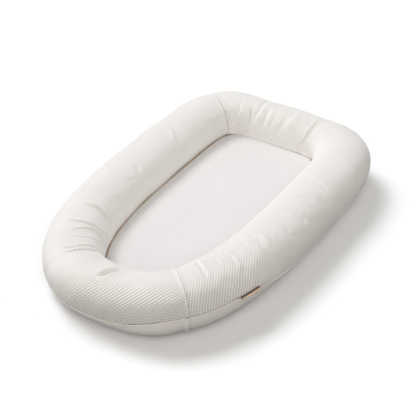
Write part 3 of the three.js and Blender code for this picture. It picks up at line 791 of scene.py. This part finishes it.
def fullness_and_shade_at(panel, length, turn):
    """How far the knit's cells stand up, and so how much shade is painted into their pits: most at the
    foot's outer side, least where it is drawn tight
    """
    degrees = np.degrees(turn)
    outer = 0.10 + 0.90 * fall(degrees, 70, 7)
    high = 22 + 22 * np.clip(away_on_ring(length, 0.0) / 0.17, 0, 1)
    # Where the knit is strained open the fullness passes 1, and the knit's colour is darkened as painted
    # shade
    strained_and_shaded = 0.46 * mound(away_on_ring(length, 0.13), 0, 0.18, 4) * fall(degrees, high, 5)
    if panel == "foot":
        from_left = away_on_ring(length, seams["foot_left"])
        smooth_end = 0.052 + 0.0006 * degrees
        return outer * (0.03 + 0.97 * rise(from_left, smooth_end, 0.012)) + strained_and_shaded
    if panel == "right":
        edge = -60 + 82 * np.clip((length - 0.29) / 0.05, 0, 1)
        fading = (0.12 + 0.88 * fall(length, 0.36, 0.05)) * rise(degrees, edge, 4)
        return (0.2 + 0.6 * outer) * fading + strained_and_shaded
    return np.full(length.shape, 0.14)


def drawn_lines(panel, length, turn):
    """How far the knit is drawn out into lines, at the foot's left seam and in the head's left corner"""
    degrees = np.degrees(turn)
    if panel == "foot":
        from_seam = away_on_ring(length, seams["foot_left"])
        return 0.55 * mound(from_seam, 0.040, 0.036, 4) * rise(degrees, 83, 3) * fall(degrees, 158, 5)
    if panel == "head":
        from_seam = away_on_ring(length, seams["head_left"])
        return 0.62 * mound(from_seam, -0.060, 0.046, 4) * rise(degrees, 134, 5)
    return np.zeros(length.shape)


knit = Finish("white rib-and-dot knit", 0.92, 0.25)
along, across, _ = knit.axes(knit.add("ShaderNodeUVMap", {"uv_map": "cloth"}, {}))
along = along * (2 * math.pi / rib_pitch)
across = across * (2 * math.pi / rib_pitch)
rib = along.math("SINE", along) * 0.5 + 0.5
dot = across.math("SINE", across) * 0.5 + 0.5
fullness_and_shade = knit.add("ShaderNodeAttribute", {"attribute_name": "fullness_and_shade"}, {}, "Fac")
# Where the fullness passes 1 the knit is strained open: its rows of dots show more, and its colour is
# darkened as painted shade
strain_and_shade = (fullness_and_shade.math("MAXIMUM", fullness_and_shade, 1.0) - 1.0) * 0.8
dotted = strain_and_shade * 1.1 + 0.26  # the rows of dots show most where the knit is strained open
cells = rib * (1 - dotted + dot * dotted)
# The cells' relief feeds the bump, and in the colour it darkens the pits as painted shade, as strongly as
# the fullness says
relief_and_pit_shade = (cells - (0.5 - dotted * 0.25)) * fullness_and_shade
yarn = knit.noise(0.0011, 2)
tone = knit.noise(0.05, 3)
knit.colour(relief_and_pit_shade * 1.35 + tone * 0.2 + 0.38 - strain_and_shade, "#d3cfc9", "#f5f3f1")
knit.bump(relief_and_pit_shade + yarn * 0.12, 0.0012)

weave_lay = {  # the direction across each panel's ribs, and how its rows of dots lean over the bolster
    "foot": ((-0.711, 0.154, 0.685), (0.71, 0.71)), "right": ((-0.876, -0.479, 0.057), (0.50, 0.87)),
    "head": (None, (0.0, 1.0)), "left": (None, (0.0, 1.0))}
across_drawn_lines = np.array([0.857, 0.515, 0.0])  # where the foot's knit is drawn out
for panel in panels:
    length, turn, share, plain, around = panel_grid(
        panel,
        lambda angle: turn_at_height(outer_seam_height(angle) + seam_cord_radius + cord_clearance),
        lambda angle: math.pi - turn_at_height(cover_edge_height),
        step=0.0023, turn_steps=104)
    from_crease = around[:, -1:] - around
    edges = np.maximum(rolled_edge(around, cord_roll, 0.0008), rolled_edge(from_crease, edge_roll, 0.0010))
    curl = seam_curl(panel, share, length, turn) + edges
    overhang = overhang_depth * head_end(length) * mound(from_crease, 0.0042, 0.0032)
    inset = soft_inset(length, turn, plain) + curl - overhang
    outside = bolster_point(length, turn, inset)
    inside = bolster_point(length, turn, inset - curl * 0.2 + cover_thickness)
    across_ribs, lean = weave_lay[panel]
    ribs = length if across_ribs is None else plain @ np.array(across_ribs)
    # The fullness also sets how much shade is painted into the knit's pits
    full, drawn = fullness_and_shade_at(panel, length, turn), drawn_lines(panel, length, turn)
    lines = plain @ across_drawn_lines if panel == "foot" else around
    weave = np.stack([np.where(drawn > full, lines, ribs), lean[0] * length + lean[1] * around], axis=-1)
    cover = shell(f"knit_cover_{panel}", outside, inside, weave, np.maximum(full, drawn))
    knit.wear(cover)
    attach(cover, "lounger")
    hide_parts(f"bolster_cover_{panel}")


# Base band: plain smooth cloth from the outer seam down to the floor, sewn from four lengths that
# meet below the panel seams. It curves under the bolster to the base cloth.
band_thickness = 0.0015
band = plain_cloth("band cotton", "#f3f0ec", "#e8e4df", 0.0009)


def band_lumps(plain):
    return 0.0006 * waves(plain, 0.09, 12, 11)


for panel in panels:
    length, turn, share, plain, around = panel_grid(
        panel,
        lambda angle: turn_at_height(rest_level),
        lambda angle: turn_at_height(outer_seam_height(angle) - seam_cord_radius - cord_clearance),
        step=0.004, turn_steps=40)
    to_top = around[:, -1:] - around
    curl = seam_curl(panel, share, length, turn) + rolled_edge(to_top, cord_roll, 0.0010)
    inset = seam_valley(length) + curl + band_lumps(plain) * np.clip(around / 0.03, 0, 1)
    outside = bolster_point(length, turn, inset)
    inside = bolster_point(length, turn, inset - curl * 0.2 + band_thickness)
    piece = shell(f"base_band_cloth_{panel}", outside, inside, np.stack([length, around], axis=-1))
    band.wear(piece)
    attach(piece, "lounger")
    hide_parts(f"base_band_{panel}")


# Outer seam cord: a thin tan cord of three twisted strands, caught in the seam between the covers and
# the band all the way round.
cord_stations = np.linspace(0, ring_length, 1001)[:-1]
cord_sunk = 0.0009  # how deep the cord sits in the seam
tan_thread = mottled("tan cord", 0.8, 0.2, (0.002, 2), "#cdb9a6", "#e2d3c4", (0.0006, 2), 0.0002)


def ring_cord(name, middle, radius, sides, strands, twist):
    """A closed cord of twisted strands round the ring, from the points of its middle line"""
    ahead = unit(np.roll(middle, -1, axis=0) - np.roll(middle, 1, axis=0))
    side = unit(np.cross(ahead, [0.0, 0.0, 1.0]))
    top = np.cross(side, ahead)
    turns = np.linspace(0, 2 * math.pi, sides, endpoint=False)
    lay = strands * turns[None, :] + 2 * math.pi * cord_stations[:, None] / twist
    reach = radius * (0.93 + 0.07 * np.cos(lay))
    points = (middle[:, None] + side[:, None] * (reach * np.cos(turns))[..., None]
              + top[:, None] * (reach * np.sin(turns))[..., None])
    return mesh_piece(name, points.reshape(-1, 3), grid_faces(len(middle), sides, wrap=True, ring=True))


seam_turn = turn_at_height(outer_seam_height(angle_at(cord_stations)))
seam_line = bolster_point(cord_stations, seam_turn, seam_valley(cord_stations) + cord_sunk)
seam_cord = ring_cord("tan_seam_cord", seam_line, seam_cord_radius, sides=10, strands=3, twist=0.006)
tan_thread.wear(seam_cord)
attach(seam_cord, "lounger")
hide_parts("outer_seam_cord")


# Stitches: the thread shows in the seam at the foot's left, where the covers are strained, and in two
# rows on the band, beside its seam at the foot's right.
stitch_pitch = 0.0042
stitch_steps = np.array([0, 0.0005, 0.0022, 0.0027])  # along one stitch, from where it comes out
stitch_girth = np.array([0.45, 1.0, 1.0, 0.45])
row_from_seam = 0.0047


def stitch_row(name, middle, radius):
    """A row of short stitches along a line of points, each one thread going in and out of the cloth"""
    run = np.append(0, np.cumsum(np.linalg.norm(np.diff(middle, axis=0), axis=1)))
    corners, faces = [], []
    ring = np.arange(6)
    caps = np.array([[3, 2, 1, 0], [5, 4, 3, 0], [18, 19, 20, 21], [18, 21, 22, 23]])
    for start in np.arange(0.001, run[-1] - 0.004, stitch_pitch):
        place = np.column_stack([np.interp(start + stitch_steps, run, middle[:, axis]) for axis in range(3)])
        ahead = unit(place[3] - place[0])
        one = unit(np.cross(ahead, [0.3, 0.1, 1.0]))
        other = np.cross(ahead, one)
        around = np.cos(ring * math.pi / 3)[:, None] * one + np.sin(ring * math.pi / 3)[:, None] * other
        faces.append(np.vstack([grid_faces(4, 6, wrap=True, flip=True), caps]) + 24 * len(corners))
        corners.append((place[:, None] + radius * stitch_girth[:, None, None] * around[None]).reshape(-1, 3))
    piece = mesh_piece(name, np.concatenate(corners), np.concatenate(faces))
    tan_thread.wear(piece)
    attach(piece, "lounger")


seam_turns = np.radians(np.linspace(84, 158, 90))
seam_lengths = seams["foot_left"] + along_seam(seam_ways, "foot_left", seam_turns)
sunk = soft_inset(seam_lengths, seam_turns, bolster_point(seam_lengths, seam_turns))
sunk += 0.55 * along_seam(seam_pulls, "foot_left", seam_turns)
stitch_row("stitches_in_foot_seam", bolster_point(seam_lengths, seam_turns, sunk), radius=0.00055)
low_end = turn_at_height(rest_level) + 0.12
high_end = float(turn_at_height(outer_seam_height(angle_at(seams["foot_right"])))) - 0.10
band_turns = np.linspace(low_end, high_end, 40)
for name, shift, ridge in (
        ("left", -row_from_seam, seam_ridges["foot"][1]), ("right", row_from_seam, seam_ridges["right"][0])):
    row_lengths = seams["foot_right"] + shift + along_seam(seam_ways, "foot_right", band_turns)
    lumps = band_lumps(bolster_point(row_lengths, band_turns))
    beside = rolled_edge(row_from_seam, 0.0004, ridge)
    row = bolster_point(row_lengths, band_turns, seam_valley(row_lengths) + lumps + beside)
    stitch_row(f"stitches_on_band_{name}", row, radius=0.0005)


# Crease piping: a brown piping of four twisted strands, sewn in where the bolster's covers meet the
# mattress sheet. At the head end it sinks a little behind the mattress.
piping_radius = 0.0019
crease_height = 0.05125
head_drop = 0.0022  # how deep it sinks at the head end
piping_rim = well_rim(angle_at(cord_stations), 0.0001 + piping_radius, 1.0)
piping_line = np.column_stack([piping_rim, crease_height - head_drop * head_end(cord_stations)])
piping = ring_cord("brown_crease_piping", piping_line, piping_radius, sides=12, strands=4, twist=0.009)
piping_cloth = mottled("brown piping", 0.85, 0.2, (0.003, 2), "#a48d75", "#c0ab94", (0.0007, 2), 0.0002)
piping_cloth.wear(piping)
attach(piping, "lounger")
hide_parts("crease_piping")


# Mattress top sheet: plain smooth cotton drawn flat over the pad. Its rim is turned down a little and
# sewn into the crease.
mattress_height = 0.052
sheet_thickness = 0.0012
sheet_inset = 0.0036
rim_drop = 0.0009  # how far the sheet's rim is turned down


def sheet_rim(share, thickness):
    """A rim of the sheet at a share of the way out from its middle, a thickness below its top"""
    rim = well_rim(rim_angles, sheet_inset, share)
    edge_drop = rim_drop * np.exp(-(1 - share) * 120)
    ripple = 0.00025 * waves(np.column_stack([rim, np.zeros(len(rim))]), 0.11, 10, 21)
    return np.column_stack([rim, mattress_height + crown(share) - edge_drop - thickness + ripple])


top_shares = np.concatenate([np.linspace(0.02, 0.96, 48), [0.975, 0.985, 0.992, 0.997, 1.0]])
rims = [sheet_rim(share, sheet_thickness) for share in top_shares[::4]]
rims += [sheet_rim(share, 0.0) for share in top_shares[::-1]]
sheet_top = mattress_height + mattress_crown
sheet = capped_piece(
    "mattress_sheet", np.array(rims),
    [0, well_middle[1], sheet_top - sheet_thickness], [0, well_middle[1], sheet_top])
sheet_cotton = plain_cloth("sheet cotton", "#ebe9e8", "#e4e2e1", 0.0008)
sheet_cotton.wear(sheet)
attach(sheet, "lounger")
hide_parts("mattress_top_sheet")


# Loop label: a short woven tape folded double, its two ends caught in the outer seam. It is brown
# with a tan edge and carries nothing.
label_angle, label_tilt = math.radians(-27), math.radians(20)
label_length, label_reach = 0.055, 0.016
label_tape = 0.0009
label_half = 0.0012  # half the thickness of the folded label
label_rise = 0.0030  # how far it stands above the seam's line
label_columns = 27
tan_edge = 0.0062  # width of the tan part on either side of the fold


def label_place(angle, out, up):
    """Places on the label, by how far they stand out from the seam and up along the bolster"""
    length = np.interp(angle, ring_angles, ring_lengths)
    turn = turn_at_height(outer_seam_height(label_angle))
    place = bolster_point(length, np.full(np.shape(length), turn))
    flat = out * math.cos(label_tilt) - up * math.sin(label_tilt)
    place[..., :2] += unit(outer_outline(angle) - well_outline(angle)) * flat[..., None]
    place[..., 2] += out * math.sin(label_tilt) + up * math.cos(label_tilt) + label_rise
    return place


ends = label_place(label_angle + np.array([-0.001, 0.001]), np.zeros(2), np.zeros(2))
label_spread = label_length / 2 * 0.002 / np.linalg.norm(ends[1] - ends[0])
nose = label_half - label_tape / 2
straight = np.linspace(0.0006, label_reach - label_half, 9)
round_turns = np.linspace(-quarter_turn, quarter_turn, 9)[1:-1]
loop_out = np.concatenate([straight, straight[-1] + nose * np.cos(round_turns) * 1.6, straight[::-1]])
loop_up = np.concatenate([np.full(9, -nose), nose * np.sin(round_turns), np.full(9, nose)])
loop_run = np.append(0, np.cumsum(np.hypot(np.diff(loop_out), np.diff(loop_up))))
label_stations = label_angle + label_spread * np.linspace(-1, 1, label_columns)
at, out = np.meshgrid(label_stations, loop_out, indexing="ij")
label_grid = label_place(at, out, np.broadcast_to(loop_up, at.shape))
label_run = np.meshgrid(np.linspace(0, label_length, label_columns), loop_run, indexing="ij")
label = mesh_piece(
    "folded_loop_label", label_grid.reshape(-1, 3), grid_faces(*at.shape),
    np.stack(label_run, axis=-1).reshape(-1, 2))
thicken(label, label_tape)
woven = Finish("woven label", 0.8, 0.2)
wide, run, _ = woven.axes(woven.add("ShaderNodeUVMap", {"uv_map": "cloth"}, {}))
edge = run.math("ABSOLUTE", run - loop_run[-1] / 2)
tan_part = edge.math("LESS_THAN", edge, tan_edge)
threads = run.math("SINE", run * (2 * math.pi / 0.0008)) * wide.math("SINE", wide * (2 * math.pi / 0.0009))
brown = woven.mix(threads * 0.5 + 0.5, paint("#4b3426"), paint("#6d5140"))
tan = woven.mix(threads * 0.5 + 0.5, paint("#d2b190"), paint("#ecd2b4"))
woven.put(woven.shader, "Base Color", woven.mix(tan_part, brown, tan))
woven.bump(threads, 0.00012)
woven.wear(label)
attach(label, "lounger")
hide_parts("loop_label")


# Studio: the camera where the photo's stood, a white floor, nine soft suns round the lounger and one
# below it, which lights the underside, and a faint white surrounding.
camera_azimuth, camera_elevation, camera_roll = (math.radians(a) for a in (31.033, 36.064, 1.277))
camera_distance = 2.9207
photo_pixels = 416
focal_pixels = 1233.04
middle_x_pixels, middle_y_pixels = -4.0, 18.97  # where the photo's middle lies from the camera's axis
back = Vector((
    math.sin(camera_azimuth) * math.cos(camera_elevation),
    -math.cos(camera_azimuth) * math.cos(camera_elevation),
    math.sin(camera_elevation)))
level = Vector((math.cos(camera_azimuth), math.sin(camera_azimuth), 0))
upright = back.cross(level)
rolled = level * math.cos(camera_roll) + upright * math.sin(camera_roll)
camera_data = bpy.data.cameras.new("camera")
camera = bpy.data.objects.new("camera", camera_data)
bpy.context.scene.collection.objects.link(camera)
turned = Matrix((rolled, back.cross(rolled), back)).transposed()
camera.matrix_world = Matrix.Translation(back * camera_distance) @ turned.to_4x4()
camera_data.sensor_width = 36
camera_data.lens = focal_pixels / photo_pixels * camera_data.sensor_width
camera_data.shift_x = -middle_x_pixels / photo_pixels
camera_data.shift_y = middle_y_pixels / photo_pixels
bpy.context.scene.camera = camera

# The floor is left out where the base cloth hides it, and is clear from below, so that the underside
# can be looked at. What the camera sees of it is white, and the light that it throws back is dim.
floor_radius = 6
floor_sides = 180
opening_share = 0.985
rim_lengths = np.linspace(0, ring_length, floor_sides, endpoint=False)
floor_points = np.zeros((2, floor_sides, 3))
low_rim = bolster_point(rim_lengths, np.full(floor_sides, turn_at_height(rest_level)))
floor_points[0, :, :2] = opening_share * low_rim[:, :2]
rim_steps = angle_at(rim_lengths)
floor_points[1, :, :2] = floor_radius * np.stack([np.cos(rim_steps), np.sin(rim_steps)], axis=-1)
floor_mesh = bpy.data.meshes.new("floor")
floor_faces = grid_faces(2, floor_sides, wrap=True)
floor_mesh.from_pydata(floor_points.reshape(-1, 3).tolist(), [], floor_faces.tolist())
if floor_mesh.polygons[0].normal.z < 0:
    floor_mesh.flip_normals()
floor = bpy.data.objects.new("floor", floor_mesh)
bpy.context.scene.collection.objects.link(floor)
floor_finish = Finish("floor", 0.9)
floor_finish.colour(floor_finish.looked_at(), "#5c5a58", "#ffffff")
from_below = floor_finish.add("ShaderNodeNewGeometry", {}, {}, "Backfacing")
clear = floor_finish.add("ShaderNodeBsdfTransparent", {}, {})
surface = floor_finish.add("ShaderNodeMixShader", {}, {
    0: from_below, 1: Wire(floor_finish, floor_finish.shader.outputs[0]), 2: clear})
floor_finish.put(floor_finish.tree.nodes["Material Output"], "Surface", surface)
floor_finish.wear(floor)

cool, warm = (0.985, 0.995, 1.025), (1.02, 0.995, 0.955)
lamps = [  # name, strength, colour, softness, direction from +X towards +Y, height, in degrees
    ("key", 1.18, cool, 24, 175, 47), ("key_back", 1.02, cool, 24, 153, 49),
    ("left", 0.66, cool, 45, 180, 10), ("front_left", 0.42, warm, 45, 225, 10),
    ("front", 0.92, warm, 45, 270, 10), ("high_right", 1.06, warm, 45, 308, 45),
    ("right", 0.62, warm, 45, 45, 25), ("low_right", 0.42, warm, 45, 0, 10),
    ("back", 0.30, cool, 45, 90, 25), ("below", 2.0, cool, 60, 270, -60)]
for name, strength, tint, softness, azimuth, elevation in lamps:
    lamp_data = bpy.data.lights.new(name, "SUN")
    lamp_data.energy = strength
    lamp_data.color = tint
    lamp_data.angle = math.radians(softness)
    lamp = bpy.data.objects.new(name, lamp_data)
    bpy.context.scene.collection.objects.link(lamp)
    turn, lift = math.radians(azimuth), math.radians(elevation)
    towards = Vector((math.cos(turn) * math.cos(lift), math.sin(turn) * math.cos(lift), math.sin(lift)))
    lamp.rotation_mode = "QUATERNION"
    lamp.rotation_quaternion = towards.to_track_quat("Z", "Y")

world_strength = 0.02
world = bpy.data.worlds.new("studio")
bpy.context.scene.world = world
world.use_nodes = True
sky = Nodes(world.node_tree)
white = (1, 1, 1, 1)
surround = sky.add("ShaderNodeBackground", {}, {"Color": white, "Strength": world_strength})
backdrop = sky.add("ShaderNodeBackground", {}, {"Color": white, "Strength": 1.0})
chosen = sky.add("ShaderNodeMixShader", {}, {0: sky.looked_at(), 1: surround, 2: backdrop})
sky.put(world.node_tree.nodes["World Output"], "Surface", chosen)
bpy.context.scene.view_settings.view_transform = "Standard"
